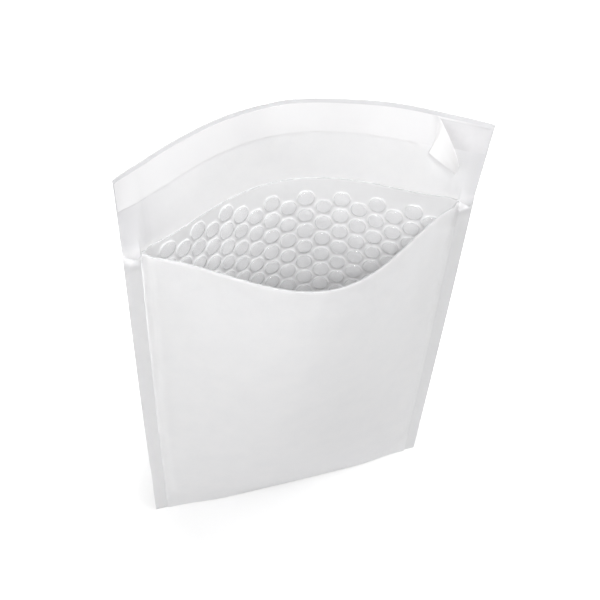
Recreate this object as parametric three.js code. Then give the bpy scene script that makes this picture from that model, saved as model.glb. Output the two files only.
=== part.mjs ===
// A padded mailing envelope that stands on its bottom fold with its mouth held open and its flap up.
// Millimetres, +Z up. The origin is the middle of the underside. The front panel is on the -Y side.
import * as THREE from "three";
import { mergeVertices } from "three/addons/utils/BufferGeometryUtils.js";

// Driving dimensions of the envelope
const finishedWidth = 216;
const panelHeight = 277;
const flapHeight = 50.5;
const sideBand = 9.3;
const sheetThickness = 0.5;
const padThickness = 4;
const mouthOpening = 77;
const flapTopBow = 49.3;
const flapBowPower = 1.6;
const clearance = 0.3;

// The fold at the bottom, pressed flat underneath so that the envelope stands on it. Its rounding takes no
// more than a share of the half thickness.
const bottomOpening = 1;
const foldRadius = 1.6;
const foldRoundShare = 0.9;
const foldSteps = 3;

// The lining is thin along its welded side edges, and its inner face slopes outward to a thinner top edge
const weldWidth = 2.5;
const weldThickness = 0.8;
const padRamp = 7;
const mouthPadThickness = 1.4;
const mouthTaper = 0.05;

// At the fold the pad thins out over a longer way toward each seam, up to this share of the height
const foldPadRamp = 48;
const foldPadShare = 0.12;

// The front panel's top edge dips in the middle, and the dip fades out over this share of the height
const frontDip = 2.2;
const frontDipShare = 0.2;

// The pouch widens faster near the fold than near the mouth, and its section is a smooth bow
const wideningPower = 0.65;
const bowPower = 1.48;

// The flap's corners stand this far in front of the side bands, and by this share of its height the flap
// has lost the step that the lining's edge makes beside each side band
const flapCornerForward = 3;
const calmShare = 0.3;

// The adhesive band and the liner over it, placed as shares of the flap's height
const adhesiveThickness = 0.25;
const adhesiveShares = [0.62, 0.93];
const linerThickness = 0.25;
const linerShares = [0.6, 0.95];
const bandEndMargin = 1;

// The liner is stuck down as far as this share of the half width, and the rest of it hangs loose.
// Its two long edges go on from there through points counted along the flap, forward of it and upward.
const peelShare = 0.717;
const looseLowerEdge = [
  [1.8, 0.2, 0],
  [2.4, 1.2, 0],
  [1.2, 3, -0.4],
  [0.6, 5, -1],
  [3.5, 6.2, -2.3],
  [10, 7.8, -5],
  [16.7, 10, -7.5],
];
const looseUpperEdge = [
  [3, 2, -0.2],
  [5.2, 5.2, -1.1],
  [9.7, 10.7, -4],
  [14, 16, -7.6],
  [17.7, 21.5, -11.6],
];

// How finely the surfaces are divided
const middleColumns = 8;
const edgeDistances = [10, 7, 4.5, weldWidth, 1, 0];
const panelShares = [0, 0.015, 0.045, 0.1, 0.18, 0.28, 0.4, 0.52, 0.64, 0.76, 0.87, 0.95, 1];
const flapShares = [0, calmShare, ...adhesiveShares, 1];
const lengthSamples = 90;
const halvings = 30;
const looseSteps = 14;
const columnSpacing = 1;
const slopeReach = 0.01;
const tangentReach = 1;
const mergeDistance = 1e-4;
const nearlyZero = 1e-6;

const halfWidth = finishedWidth / 2;
const edgeGap = 3 * clearance;
const flatLiningHalf = halfWidth - sideBand - clearance;
const liningFloor = sheetThickness + clearance;
const foldTop = liningFloor + padThickness + bottomOpening / 2;

function mix(from, to, share) {
  return from + (to - from) * share;
}

function smooth(share) {
  const t = Math.min(Math.max(share, 0), 1);
  return t * t * (3 - 2 * t);
}

// Half of the open space between the two lining walls in the middle, at a share of the panel's height
function halfOpening(share) {
  return mix(bottomOpening, mouthOpening, share ** wideningPower) / 2;
}

// The inner face of one lining wall at x across the pouch
function bow(x, openHalf, depth) {
  const t = Math.min(Math.abs(x) / openHalf, 1);
  return depth * Math.cos((Math.PI / 2) * t) ** bowPower;
}

// The room that a lining wall takes at a distance in from its welded side edge
function padAt(distanceIn, share) {
  const ramp = mix(foldPadRamp, padRamp, smooth(share / foldPadShare));
  return mix(weldThickness, padThickness, smooth(distanceIn / ramp));
}

// How far the lining's inner face has moved outward near the mouth
function mouthInset(distanceIn, share) {
  const most = (padThickness - mouthPadThickness) * (1 - smooth((1 - share) / mouthTaper));
  return most * smooth((distanceIn - weldWidth) / padRamp);
}

// The point over x on a face that lies this far outside the pouch's inner face
function facePoint(x, liningHalf, share, offset) {
  const openHalf = liningHalf - weldWidth;
  const depth = halfOpening(share);
  const rise = bow(x + slopeReach, openHalf, depth) - bow(x - slopeReach, openHalf, depth);
  const slope = rise / (2 * slopeReach);
  const length = Math.hypot(1, slope);
  const y = bow(x, openHalf, depth) + offset / length;
  return [x - (slope / length) * offset, y < nearlyZero ? 0 : y];
}

function sheetMiddlePoint(x, liningHalf, share) {
  const pad = padAt(liningHalf - Math.abs(x), share);
  return facePoint(x, liningHalf, share, pad + clearance + sheetThickness / 2);
}

// The length of the sheet from the middle of the panel to the lining's side edge
function heldLength(liningHalf, share) {
  let total = 0;
  let last = sheetMiddlePoint(0, liningHalf, share);
  for (let i = 1; i <= lengthSamples; i += 1) {
    const next = sheetMiddlePoint((liningHalf * i) / lengthSamples, liningHalf, share);
    total += Math.hypot(next[0] - last[0], next[1] - last[1]);
    last = next;
  }
  return total;
}

// The sides of the open pouch come in by just enough for the sheet to keep its own width
const sheetHalfLength = heldLength(flatLiningHalf, 0);

function halved(low, high, isTooHigh) {
  let [from, to] = [low, high];
  for (let i = 0; i < halvings; i += 1) {
    const middle = (from + to) / 2;
    if (isTooHigh(middle)) {
      to = middle;
    } else {
      from = middle;
    }
  }
  return (from + to) / 2;
}

function liningHalfAt(share) {
  const isTooHigh = (half) => heldLength(half, share) > sheetHalfLength;
  return halved(flatLiningHalf / 3, flatLiningHalf * 1.1, isTooHigh);
}

// The places of the columns across the pouch, from the left welded edge to the right one
function columnsAcross(liningHalf) {
  const reach = liningHalf - edgeDistances[0];
  const right = [];
  for (let i = 0; i < middleColumns; i += 1) {
    right.push((reach * i) / middleColumns);
  }
  right.push(...edgeDistances.map((distance) => liningHalf - distance));
  const left = right.slice(1).reverse().map((x) => -x);
  return [...left, ...right];
}

// Rows of [x, y] for the back wall at one height, one row for each face. The front wall mirrors them.
function wallRows(share) {
  const liningHalf = liningHalfAt(share);
  const across = columnsAcross(liningHalf);
  const last = across.length - 1;
  const outsideRow = (beyondPad) =>
    across.map((x) => facePoint(x, liningHalf, share, padAt(liningHalf - Math.abs(x), share) + beyondPad));
  const liningInside = across.map((x) =>
    facePoint(x, liningHalf, share, mouthInset(liningHalf - Math.abs(x), share)),
  );
  const liningOutside = outsideRow(0);
  const sheetInside = outsideRow(clearance);
  const sheetOutside = outsideRow(clearance + sheetThickness);
  const sheetMiddle = outsideRow(clearance + sheetThickness / 2);
  const bandEdge = liningHalf + clearance + sideBand;
  const insideEnd = sheetInside[last][1];
  const outsideEnd = sheetOutside[last][1];
  const insideTail = [
    [liningHalf + clearance, insideEnd],
    [liningHalf + edgeGap, 0],
    [bandEdge, 0],
  ];
  const outsideTail = [
    [liningHalf + edgeGap / 2, outsideEnd],
    [liningHalf + edgeGap + sheetThickness, sheetThickness],
    [bandEdge, sheetThickness],
  ];
  const mirrored = (tail) => tail.map(([x, y]) => [-x, y]).reverse();
  const withTails = (row, tail) => [...mirrored(tail), ...row, ...tail];
  return {
    liningInside,
    liningOutside,
    sheetMiddle,
    sheetInside: withTails(sheetInside, insideTail),
    sheetOutside: withTails(sheetOutside, outsideTail),
  };
}

const levels = panelShares.map(wallRows);
const sheetColumns = levels[0].sheetOutside.length;
const tailColumns = (sheetColumns - levels[0].liningInside.length) / 2;
const weldColumns = edgeDistances.length - 1 - edgeDistances.indexOf(weldWidth);

// Each column rises by what is left of its own length after its move across, so the panel isn't stretched
function columnHeights() {
  const heights = [levels[0].sheetMiddle.map(() => foldTop)];
  for (let k = 1; k < levels.length; k += 1) {
    const run = (panelHeight - foldTop) * (panelShares[k] - panelShares[k - 1]);
    const row = levels[k].sheetMiddle.map(([x, y], j) => {
      const [lastX, lastY] = levels[k - 1].sheetMiddle[j];
      const across = Math.hypot(x - lastX, y - lastY);
      return heights[k - 1][j] + Math.sqrt(Math.max(run * run - across * across, 0));
    });
    heights.push(row);
  }
  return heights;
}

const heights = columnHeights();

// The height of a column, where the columns beyond the lining's edge rise with the last one inside it
function heightAt(k, j, tail, side) {
  const last = heights[k].length - 1;
  const column = Math.min(Math.max(j - tail, 0), last);
  const outward = levels[k].liningInside[column][1] / halfOpening(panelShares[k]);
  const dip = side < 0 ? frontDip * outward * smooth((panelShares[k] - 1) / frontDipShare + 1) : 0;
  return heights[k][column] - dip;
}

// A wall's face as rows of points, on the back side or mirrored to the front side
function wallFace(name, side) {
  return levels.map((level, k) => {
    const tail = (level[name].length - level.liningInside.length) / 2;
    return level[name].map(([x, y], j) => new THREE.Vector3(x, side * y, heightAt(k, j, tail, side)));
  });
}

// The rows of a fold that joins the front wall to the back wall under the pouch
function foldRows(backRow, floor) {
  const profile = backRow.map((point) => {
    const radius = Math.min(foldRadius, point.y * foldRoundShare);
    const rows = [];
    for (let i = 0; i <= foldSteps; i += 1) {
      const angle = (Math.PI / 2) * (i / foldSteps);
      const y = point.y - radius * (1 - Math.cos(angle));
      rows.push(new THREE.Vector3(point.x, y, floor + radius * (1 - Math.sin(angle))));
    }
    return rows;
  });
  const back = profile[0].map((_, i) => profile.map((rows) => rows[i]));
  const front = back.map((row) => row.map((point) => new THREE.Vector3(point.x, -point.y, point.z)));
  return [...front, ...back.reverse()];
}

// A collector of triangles, which leaves out any that has no width
function surface() {
  const coordinates = [];
  function triangle(a, b, c) {
    const isThin = [[a, b], [b, c], [c, a]].some(([p, q]) => p.distanceTo(q) < nearlyZero);
    if (!isThin) {
      coordinates.push(...a.toArray(), ...b.toArray(), ...c.toArray());
    }
  }
  // The face over rows of points looks along the cross product of the way along a row and the way to the
  // next row. A turned face looks the other way, and is cut along the same diagonals.
  function face(rows, from = 0, to = rows[0].length - 1) {
    for (let k = 1; k < rows.length; k += 1) {
      for (let j = from; j < to; j += 1) {
        triangle(rows[k - 1][j], rows[k - 1][j + 1], rows[k][j + 1]);
        triangle(rows[k - 1][j], rows[k][j + 1], rows[k][j]);
      }
    }
  }
  function turnedFace(rows, from = 0, to = rows[0].length - 1) {
    for (let k = 1; k < rows.length; k += 1) {
      for (let j = from; j < to; j += 1) {
        triangle(rows[k - 1][j], rows[k][j + 1], rows[k - 1][j + 1]);
        triangle(rows[k - 1][j], rows[k][j], rows[k][j + 1]);
      }
    }
  }
  function geometry() {
    const soup = new THREE.BufferGeometry();
    soup.setAttribute("position", new THREE.Float32BufferAttribute(coordinates, 3));
    const closed = mergeVertices(soup, mergeDistance);
    closed.computeVertexNormals();
    return closed;
  }
  return { triangle, face, turnedFace, geometry };
}

function columnOf(rows, j) {
  return rows.map((row) => row[j]);
}

// The walls, fold and side edges of a pouch, open at the mouth. Its inner rows have as many columns as its
// outer rows, and the first and last weldColumns of them lie on the middle plane inside the welded edge.
function addPouch(skin, faces, floors, weldColumns) {
  const { outerFront, outerBack, innerFront, innerBack } = faces;
  const last = outerBack[0].length - 1;
  const inside = [weldColumns, last - weldColumns];
  const outerFold = foldRows(outerBack[0], floors.outer);
  const innerFold = foldRows(innerBack[0], floors.inner);
  skin.face(outerFront);
  skin.turnedFace(outerBack);
  skin.turnedFace([outerFront[0], ...outerFold, outerBack[0]]);
  skin.turnedFace(innerFront, ...inside);
  skin.face(innerBack, ...inside);
  skin.face([innerFront[0], ...innerFold, innerBack[0]], ...inside);
  for (const j of [0, last]) {
    const edge = [columnOf(outerFront, j), columnOf(innerBack, j), columnOf(outerBack, j)];
    if (j === 0) {
      skin.face(edge);
    } else {
      skin.turnedFace(edge);
    }
    const rim = [outerFront[0][j], ...columnOf(outerFold, j), outerBack[0][j]];
    for (let i = 1; i < rim.length; i += 1) {
      const [a, b] = j === 0 ? [rim[i], rim[i - 1]] : [rim[i - 1], rim[i]];
      skin.triangle(innerBack[0][j], a, b);
    }
  }
}

function pouchFaces(outerName, innerName) {
  return {
    outerFront: wallFace(outerName, -1),
    outerBack: wallFace(outerName, 1),
    innerFront: wallFace(innerName, -1),
    innerBack: wallFace(innerName, 1),
  };
}

// A thin closed strip between a front face and a back face, each given as rows from its lower edge upward
function addStrip(skin, front, back) {
  const top = front.length - 1;
  const last = front[0].length - 1;
  skin.face(front);
  skin.turnedFace(back);
  skin.face([back[0], front[0]]);
  skin.face([front[top], back[top]]);
  skin.face([columnOf(front, 0), columnOf(back, 0)]);
  skin.turnedFace([columnOf(front, last), columnOf(back, last)]);
}

// The length along a row of points at each of its points, counted from the middle of the row
function lengthsAlong(row) {
  const lengths = [0];
  for (let j = 1; j < row.length; j += 1) {
    lengths.push(lengths[j - 1] + row[j].distanceTo(row[j - 1]));
  }
  const half = lengths[row.length - 1] / 2;
  return lengths.map((length) => length - half);
}

function pointAlong(row, lengths, length) {
  let j = 1;
  while (j < row.length - 1 && lengths[j] < length) {
    j += 1;
  }
  const share = (length - lengths[j - 1]) / (lengths[j] - lengths[j - 1]);
  return new THREE.Vector3().lerpVectors(row[j - 1], row[j], share);
}

// The mouth line of the back panel, in the middle of the sheet, and the bow of the flap's top edge over it
const sheetFaces = pouchFaces("sheetOutside", "sheetInside");
const mouthInside = sheetFaces.innerBack.at(-1);
const mouthOutside = sheetFaces.outerBack.at(-1);
const mouthLine = mouthInside.map((point, j) => point.clone().lerp(mouthOutside[j], 0.5));
const mouthLengths = lengthsAlong(mouthLine);
const sheetEnd = mouthLengths.at(-1);

// The same line where the step beside each side band has smoothed out, as it has a little way up the flap
function withoutStep(point, j) {
  const [end, inner] = j < sheetColumns / 2 ? [0, tailColumns] : [-1, -1 - tailColumns];
  const [from, to] = [mouthLine.at(end), mouthLine.at(inner)];
  const share = (point.x - from.x) / (to.x - from.x);
  return share < 1 ? from.clone().lerp(to, share) : point.clone();
}

const calmLine = mouthLine.map(withoutStep);

function topBow(halfSpan) {
  const row = [];
  for (let i = -lengthSamples; i <= lengthSamples; i += 1) {
    const t = i / lengthSamples;
    const bowed = flapTopBow * (1 - Math.abs(t) ** flapBowPower);
    row.push(new THREE.Vector3(t * halfSpan, bowed - flapCornerForward, 0));
  }
  return row;
}

const isTopTooLong = (halfSpan) => lengthsAlong(topBow(halfSpan)).at(-1) > sheetEnd;
const topLine = topBow(halved(halfWidth / 2, halfWidth, isTopTooLong));
const topLengths = lengthsAlong(topLine);

// The middle of the flap at a length across it from its middle and a share of its height
function flapPoint(across, share) {
  const calm = pointAlong(calmLine, mouthLengths, across);
  const foot = pointAlong(mouthLine, mouthLengths, across).lerp(calm, smooth(share / calmShare));
  const head = pointAlong(topLine, topLengths, across);
  const move = Math.hypot(head.x - foot.x, head.y - foot.y);
  head.z = foot.z + Math.sqrt(flapHeight * flapHeight - move * move);
  return foot.lerp(head, share);
}

function flapBackward(across, share) {
  const reach = Math.min(tangentReach, sheetEnd - Math.abs(across) + tangentReach / 2);
  const along = flapPoint(across + reach, share).sub(flapPoint(across - reach, share));
  return new THREE.Vector3(-along.y, along.x, 0).normalize();
}

// A row of points that lies this far in front of the flap's middle
function flapRow(columns, share, forward) {
  return columns.map((across) =>
    flapPoint(across, share).addScaledVector(flapBackward(across, share), -forward),
  );
}

function makeOuterEnvelope() {
  const skin = surface();
  addPouch(skin, sheetFaces, { outer: 0, inner: sheetThickness }, 1);
  skin.face([sheetFaces.outerFront.at(-1), sheetFaces.innerFront.at(-1)]);
  const above = flapShares.slice(1);
  const front = [mouthInside, ...above.map((share) => flapRow(mouthLengths, share, sheetThickness / 2))];
  const back = [mouthOutside, ...above.map((share) => flapRow(mouthLengths, share, -sheetThickness / 2))];
  skin.face(front);
  skin.turnedFace(back);
  skin.face([front.at(-1), back.at(-1)]);
  skin.face([columnOf(front, 0), columnOf(back, 0)]);
  skin.turnedFace([columnOf(front, sheetColumns - 1), columnOf(back, sheetColumns - 1)]);
  return skin.geometry();
}

function makeBubbleLining() {
  const skin = surface();
  const faces = pouchFaces("liningOutside", "liningInside");
  const floors = { outer: liningFloor, inner: liningFloor + padThickness };
  addPouch(skin, faces, floors, weldColumns);
  skin.face([faces.outerFront.at(-1), faces.innerFront.at(-1)]);
  skin.face([faces.innerBack.at(-1), faces.outerBack.at(-1)]);
  return skin.geometry();
}

// The columns of the flap from one length across it to another
function columnsBetween(from, to) {
  const [least, most] = [from + columnSpacing, to - columnSpacing];
  const between = mouthLengths.filter((across) => across > least && across < most);
  return [from, ...between, to];
}

function makeAdhesiveStrip() {
  const skin = surface();
  const columns = columnsBetween(bandEndMargin - sheetEnd, sheetEnd - bandEndMargin);
  const backAt = sheetThickness / 2 + clearance;
  const rows = (forward) => adhesiveShares.map((share) => flapRow(columns, share, forward));
  addStrip(skin, rows(backAt + adhesiveThickness), rows(backAt));
  return skin.geometry();
}

// The middle of the liner's loose end, as a row of points on each long edge and the way its face looks
function looseRows(start, peelAcross) {
  const rising = start[1].clone().sub(start[0]).normalize();
  const forward = flapBackward(peelAcross, mix(...linerShares, 0.5)).negate();
  const along = new THREE.Vector3().crossVectors(rising, forward).normalize();
  const axes = new THREE.Matrix4().makeBasis(along, forward, rising);
  const rows = [looseLowerEdge, looseUpperEdge].map((route, r) => {
    const through = route.map((step) => new THREE.Vector3(...step).applyMatrix4(axes).add(start[r]));
    const edge = new THREE.CatmullRomCurve3([start[r], ...through], false, "centripetal");
    return edge.getSpacedPoints(looseSteps);
  });
  const normals = rows[0].map((point, i) => {
    const [from, to] = [Math.max(i - 1, 0), Math.min(i + 1, looseSteps)];
    const onward = rows[0][to].clone().add(rows[1][to]).sub(rows[0][from]).sub(rows[1][from]);
    return onward.cross(rows[1][i].clone().sub(point)).normalize();
  });
  return { rows, normals };
}

function makeReleaseLiner() {
  const skin = surface();
  const peelAcross = sheetEnd * peelShare;
  const columns = columnsBetween(bandEndMargin / 2 - sheetEnd, peelAcross);
  const backAt = sheetThickness / 2 + clearance + adhesiveThickness + clearance;
  const middleAt = backAt + linerThickness / 2;
  const flat = linerShares.map((share) => flapRow(columns, share, middleAt));
  const loose = looseRows(flat.map((row) => row.at(-1)), peelAcross);
  const face = (forward) =>
    linerShares.map((share, r) => {
      const stuck = flapRow(columns, share, middleAt + forward);
      const outward = loose.normals.map((normal) => normal.clone().multiplyScalar(forward));
      const free = loose.rows[r].map((point, i) => outward[i].add(point));
      return [...stuck, ...free.slice(1)];
    });
  addStrip(skin, face(linerThickness / 2), face(-linerThickness / 2));
  return skin.geometry();
}

const sheetMaterial = new THREE.MeshStandardMaterial({ color: 0xefeeef, roughness: 0.6, metalness: 0 });
const liningMaterial = new THREE.MeshStandardMaterial({ color: 0xdcdcde, roughness: 0.25, metalness: 0 });
const adhesiveMaterial = new THREE.MeshStandardMaterial({ color: 0xe6e5e6, roughness: 0.35, metalness: 0 });
const linerMaterial = new THREE.MeshStandardMaterial({ color: 0xf6f4f5, roughness: 0.45, metalness: 0 });

function named(name, geometry, material) {
  const mesh = new THREE.Mesh(geometry, material);
  mesh.name = name;
  return mesh;
}

const envelope = new THREE.Group();
envelope.add(
  named("outer_envelope", makeOuterEnvelope(), sheetMaterial),
  named("bubble_lining", makeBubbleLining(), liningMaterial),
  named("adhesive_strip", makeAdhesiveStrip(), adhesiveMaterial),
  named("release_liner", makeReleaseLiner(), linerMaterial),
);

export default envelope;
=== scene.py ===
import math
import random

import bmesh
import bpy
from mathutils import Matrix, Vector


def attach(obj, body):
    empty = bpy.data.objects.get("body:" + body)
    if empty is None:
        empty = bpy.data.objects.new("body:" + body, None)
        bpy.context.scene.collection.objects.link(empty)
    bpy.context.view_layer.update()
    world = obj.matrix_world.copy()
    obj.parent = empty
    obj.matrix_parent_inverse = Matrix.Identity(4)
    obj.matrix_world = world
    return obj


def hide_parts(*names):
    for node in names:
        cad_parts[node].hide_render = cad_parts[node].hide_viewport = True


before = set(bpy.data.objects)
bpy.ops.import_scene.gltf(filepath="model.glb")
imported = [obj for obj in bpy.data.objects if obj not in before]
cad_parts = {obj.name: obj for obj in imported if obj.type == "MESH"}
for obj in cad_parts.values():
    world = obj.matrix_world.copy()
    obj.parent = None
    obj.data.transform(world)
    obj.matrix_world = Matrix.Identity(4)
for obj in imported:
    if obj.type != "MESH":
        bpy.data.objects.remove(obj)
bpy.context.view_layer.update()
mm = 0.001
print("frame loaded:", len(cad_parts), "nodes")


# The camera and the stage

photoCamera = {
    "place": (-96.2 * mm, -273.8 * mm, 543.8 * mm),
    "yaw": 19.07,
    "pitch": 48.44,
    "roll": -3.84,
    "lens": 44.4,
}


def placeCamera(settings):
    yaw, pitch, roll = (math.radians(settings[key]) for key in ("yaw", "pitch", "roll"))
    ahead = Vector((math.sin(yaw) * math.cos(pitch), math.cos(yaw) * math.cos(pitch), -math.sin(pitch)))
    level = Vector((math.cos(yaw), -math.sin(yaw), 0))
    under = ahead.cross(level)
    right = level * math.cos(roll) + under * math.sin(roll)
    down = under * math.cos(roll) - level * math.sin(roll)
    lens = bpy.data.cameras.new("photoCamera")
    lens.lens = settings["lens"]
    lens.sensor_width = 36
    lens.clip_start = 0.01
    camera = bpy.data.objects.new("photoCamera", lens)
    turn = Matrix((right, -down, -ahead)).transposed().to_4x4()
    camera.matrix_world = Matrix.Translation(settings["place"]) @ turn
    bpy.context.scene.collection.objects.link(camera)
    bpy.context.scene.camera = camera


placeCamera(photoCamera)
bpy.context.scene.view_settings.view_transform = "Standard"


# Small helpers for shapes

def mix(start, end, share):
    return start + (end - start) * share


def smooth(share):
    t = min(max(share, 0), 1)
    return t * t * (3 - 2 * t)


# The value at which isTooHigh starts to hold, by halving
def halved(low, high, isTooHigh, rounds=26):
    for _ in range(rounds):
        middle = (low + high) / 2
        if isTooHigh(middle):
            high = middle
        else:
            low = middle
    return (low + high) / 2


# Round shading, but crisp at cut edges
def shadeCrisp(mesh, degrees=40):
    mesh.shade_smooth()
    mesh.set_sharp_from_angle(angle=math.radians(degrees))


def meshObject(name, points, faces, material):
    mesh = bpy.data.meshes.new(name)
    mesh.from_pydata(points, [], faces)
    mesh.validate()
    mesh.materials.append(material)
    shadeCrisp(mesh)
    piece = bpy.data.objects.new(name, mesh)
    bpy.context.scene.collection.objects.link(piece)
    return piece


# Rows of points joined by quads
def gridFaces(rows, columns, first=0):
    faces = []
    for row in range(rows - 1):
        for column in range(columns - 1):
            corner = first + row * columns + column
            faces.append((corner, corner + 1, corner + columns + 1, corner + columns))
    return faces


# A closed strip between a front and a back grid of points with as many rows and columns
def closedStrip(front, back):
    rows, columns = len(front), len(front[0])
    points = [point for row in front + back for point in row]
    behind = rows * columns
    faces = gridFaces(rows, columns)
    faces += [tuple(reversed(face)) for face in gridFaces(rows, columns, behind)]
    rim = list(range(columns))
    rim += [row * columns + columns - 1 for row in range(1, rows)]
    rim += [(rows - 1) * columns + column for column in range(columns - 2, -1, -1)]
    rim += [row * columns for row in range(rows - 2, 0, -1)]
    for here, there in zip(rim, rim[1:] + rim[:1]):
        faces.append((there, here, here + behind, there + behind))
    return points, faces


# The pouch: how its walls bow open between the side seams

envelope = {
    "width": 216 * mm,
    "panelHeight": 277 * mm,
    "sideBand": 9.3 * mm,
    "padThickness": 4 * mm,
    "sheetRoom": 0.5 * mm,
    "clearance": 0.3 * mm,
    "mouthOpening": 77 * mm,
    "bottomOpening": 1 * mm,
    "foldRadius": 1.6 * mm,
    "foldRadiusShare": 0.9,
    "weldWidth": 2.5 * mm,
    "weldThickness": 0.8 * mm,
    "padRamp": 7 * mm,
    "foldPadRamp": 48 * mm,
    "foldPadShare": 0.12,
    "wideningPower": 0.65,
    "steadyShare": 0.015,
    "bowPower": 1.48,
    "frontDip": 2.2 * mm,
    "frontDipShare": 0.2,
}
halfWidth = envelope["width"] / 2
liningFloor = envelope["sheetRoom"] + envelope["clearance"]
foldTop = liningFloor + envelope["padThickness"] + envelope["bottomOpening"] / 2
wallHeight = envelope["panelHeight"] - foldTop
sheetBeyondPad = envelope["clearance"] + envelope["sheetRoom"] / 2


# Half of the open space between the lining's walls in the middle, at a share of the wall's height
def halfOpening(share):
    steady = envelope["steadyShare"]
    widened = share ** envelope["wideningPower"]
    if share < steady:
        widened = share / steady * steady ** envelope["wideningPower"]
    return mix(envelope["bottomOpening"], envelope["mouthOpening"], widened) / 2


# How far a wall bows out at x, when it opens over openHalf each way
def bow(x, openHalf, depth):
    t = min(abs(x) / openHalf, 1)
    return depth * max(math.cos(math.pi / 2 * t), 0) ** envelope["bowPower"]


# The room that a lining wall takes at a distance in from its seam, over a longer ramp near the fold
def padAt(distanceIn, share):
    ramp = mix(envelope["foldPadRamp"], envelope["padRamp"], smooth(share / envelope["foldPadShare"]))
    return mix(envelope["weldThickness"], envelope["padThickness"], smooth(distanceIn / ramp))


# The point over x that lies this far outside the pouch's inner face, in the level plane
def facePoint(x, liningHalf, share, offset):
    openHalf = liningHalf - envelope["weldWidth"]
    depth = halfOpening(share)
    reach = 0.05 * mm
    slope = (bow(x + reach, openHalf, depth) - bow(x - reach, openHalf, depth)) / (2 * reach)
    length = math.hypot(1, slope)
    return x - slope / length * offset, bow(x, openHalf, depth) + offset / length


# For one level: the place x of each step along the sheet, and the sheet's whole half length
def sheetSteps(liningHalf, share, steps=72):
    places = [liningHalf * i / steps for i in range(steps + 1)]
    points = []
    for x in places:
        points.append(facePoint(x, liningHalf, share, padAt(liningHalf - x, share) + sheetBeyondPad))
    lengths = [0]
    for here, there in zip(points, points[1:]):
        lengths.append(lengths[-1] + math.dist(here, there))
    return places, lengths


flatLiningHalf = halfWidth - envelope["sideBand"] - envelope["clearance"]
sheetHalf = sheetSteps(flatLiningHalf, 0)[1][-1]
bandLength = envelope["clearance"] + envelope["sideBand"]


# The value at a key, read from a rising table
def between(table, values, key):
    low, high = 0, len(table) - 1
    while high - low > 1:
        middle = (low + high) // 2
        if table[middle] <= key:
            low = middle
        else:
            high = middle
    share = (key - table[low]) / (table[high] - table[low])
    return mix(values[low], values[high], share)


# The levels of the wall, each with the lining's half width and the places of even steps along the sheet.
# The seams come in by just enough for the sheet to keep its width, and its columns keep their length.
def measureLevels(count=64, acrossSteps=48):
    shares = [0, envelope["steadyShare"] / 2, envelope["steadyShare"]]
    shares += [i / count for i in range(1, count + 1)]
    alongs = [sheetHalf * i / acrossSteps for i in range(acrossSteps + 1)]
    levels = []
    for share in shares:
        isTooLong = lambda half: sheetSteps(half, share)[1][-1] > sheetHalf
        liningHalf = halved(flatLiningHalf / 2, flatLiningHalf * 1.05, isTooLong)
        places, lengths = sheetSteps(liningHalf, share)
        xs = [between(lengths, places, along) for along in alongs]
        beyond = [padAt(liningHalf - x, share) + sheetBeyondPad for x in xs]
        points = [facePoint(x, liningHalf, share, offset) for x, offset in zip(xs, beyond)]
        if levels:
            last = levels[-1]
            run = wallHeight * (share - last["share"])
            moves = [math.dist(a, b) for a, b in zip(points, last["points"])]
            rises = [math.sqrt(max(run ** 2 - move ** 2, 0)) for move in moves]
            heights = [height + rise for height, rise in zip(last["heights"], rises)]
        else:
            heights = [foldTop] * len(alongs)
        levels.append({"share": share, "half": liningHalf, "xs": xs, "points": points, "heights": heights})
    return alongs, shares, levels


alongs, levelShares, levels = measureLevels()
print("pouch measured:", len(levels), "levels")


# The measured levels below and above a share of the wall's height, and the place between them
def levelAt(share):
    low, high = 0, len(levelShares) - 1
    while high - low > 1:
        middle = (low + high) // 2
        if levelShares[middle] <= share:
            low = middle
        else:
            high = middle
    part = (share - levelShares[low]) / (levelShares[high] - levelShares[low])
    return levels[low], levels[high], part


# Slow dents of the laminated wall, outward from the pouch, small pleats beside the seams, and the front
# panel's belly. Dents and pleats weaken towards the fold and the mouth.
wallDents = {
    "depth": 0.55 * mm,
    "waveAcross": 23 * mm,
    "waveUp": 37 * mm,
    "slantShare": 0.6,
    "slantAcross": 14 * mm,
    "slantUp": 29 * mm,
    "calmSide": 30 * mm,
    "pleatDepth": 0.5 * mm,
    "pleatSpacing": 31 * mm,
    "pleatReach": 13 * mm,
    "pleatStart": 4 * mm,
    "foldShare": 0.08,
    "mouthShare": 0.15,
    "mouthCalm": 0.35,
    "belly": 3 * mm,
    "bellyPlace": (-10 * mm, 128 * mm),
    "bellyReach": (88 * mm, 125 * mm),
}


# The phases keep the two walls and the two seams from looking alike
def wallDent(along, share, side):
    fromSeam = sheetHalf - abs(along)
    height = share * wallHeight
    slow = math.sin(along / wallDents["waveAcross"] + 1.3 * side)
    slow *= math.sin(height / wallDents["waveUp"] + 0.9 * side)
    slant = math.sin(along / wallDents["slantAcross"] - height / wallDents["slantUp"] + 2.1 * side)
    slow += wallDents["slantShare"] * slant
    slow *= wallDents["depth"] * smooth(fromSeam / wallDents["calmSide"])
    hand = 1 if along > 0 else -1
    wave = height / wallDents["pleatSpacing"] * 2 * math.pi + 1.7 * hand + 0.8 * side
    pleat = math.sin(wave + 0.9 * math.sin(wave * 0.37)) * smooth(fromSeam / wallDents["pleatStart"])
    pleat *= wallDents["pleatDepth"] * math.exp(-(fromSeam / wallDents["pleatReach"]) ** 2)
    nearMouth = smooth((share - 1) / wallDents["mouthShare"] + 1)
    ends = smooth(share / wallDents["foldShare"]) * mix(1, wallDents["mouthCalm"], nearMouth)
    across, upward = wallDents["bellyPlace"]
    spread, rise = wallDents["bellyReach"]
    farOut = math.hypot((along - across) / spread, (height - upward) / rise)
    belly = wallDents["belly"] * smooth(1 - farOut) if side < 0 else 0
    return (slow + pleat) * ends + belly


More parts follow.
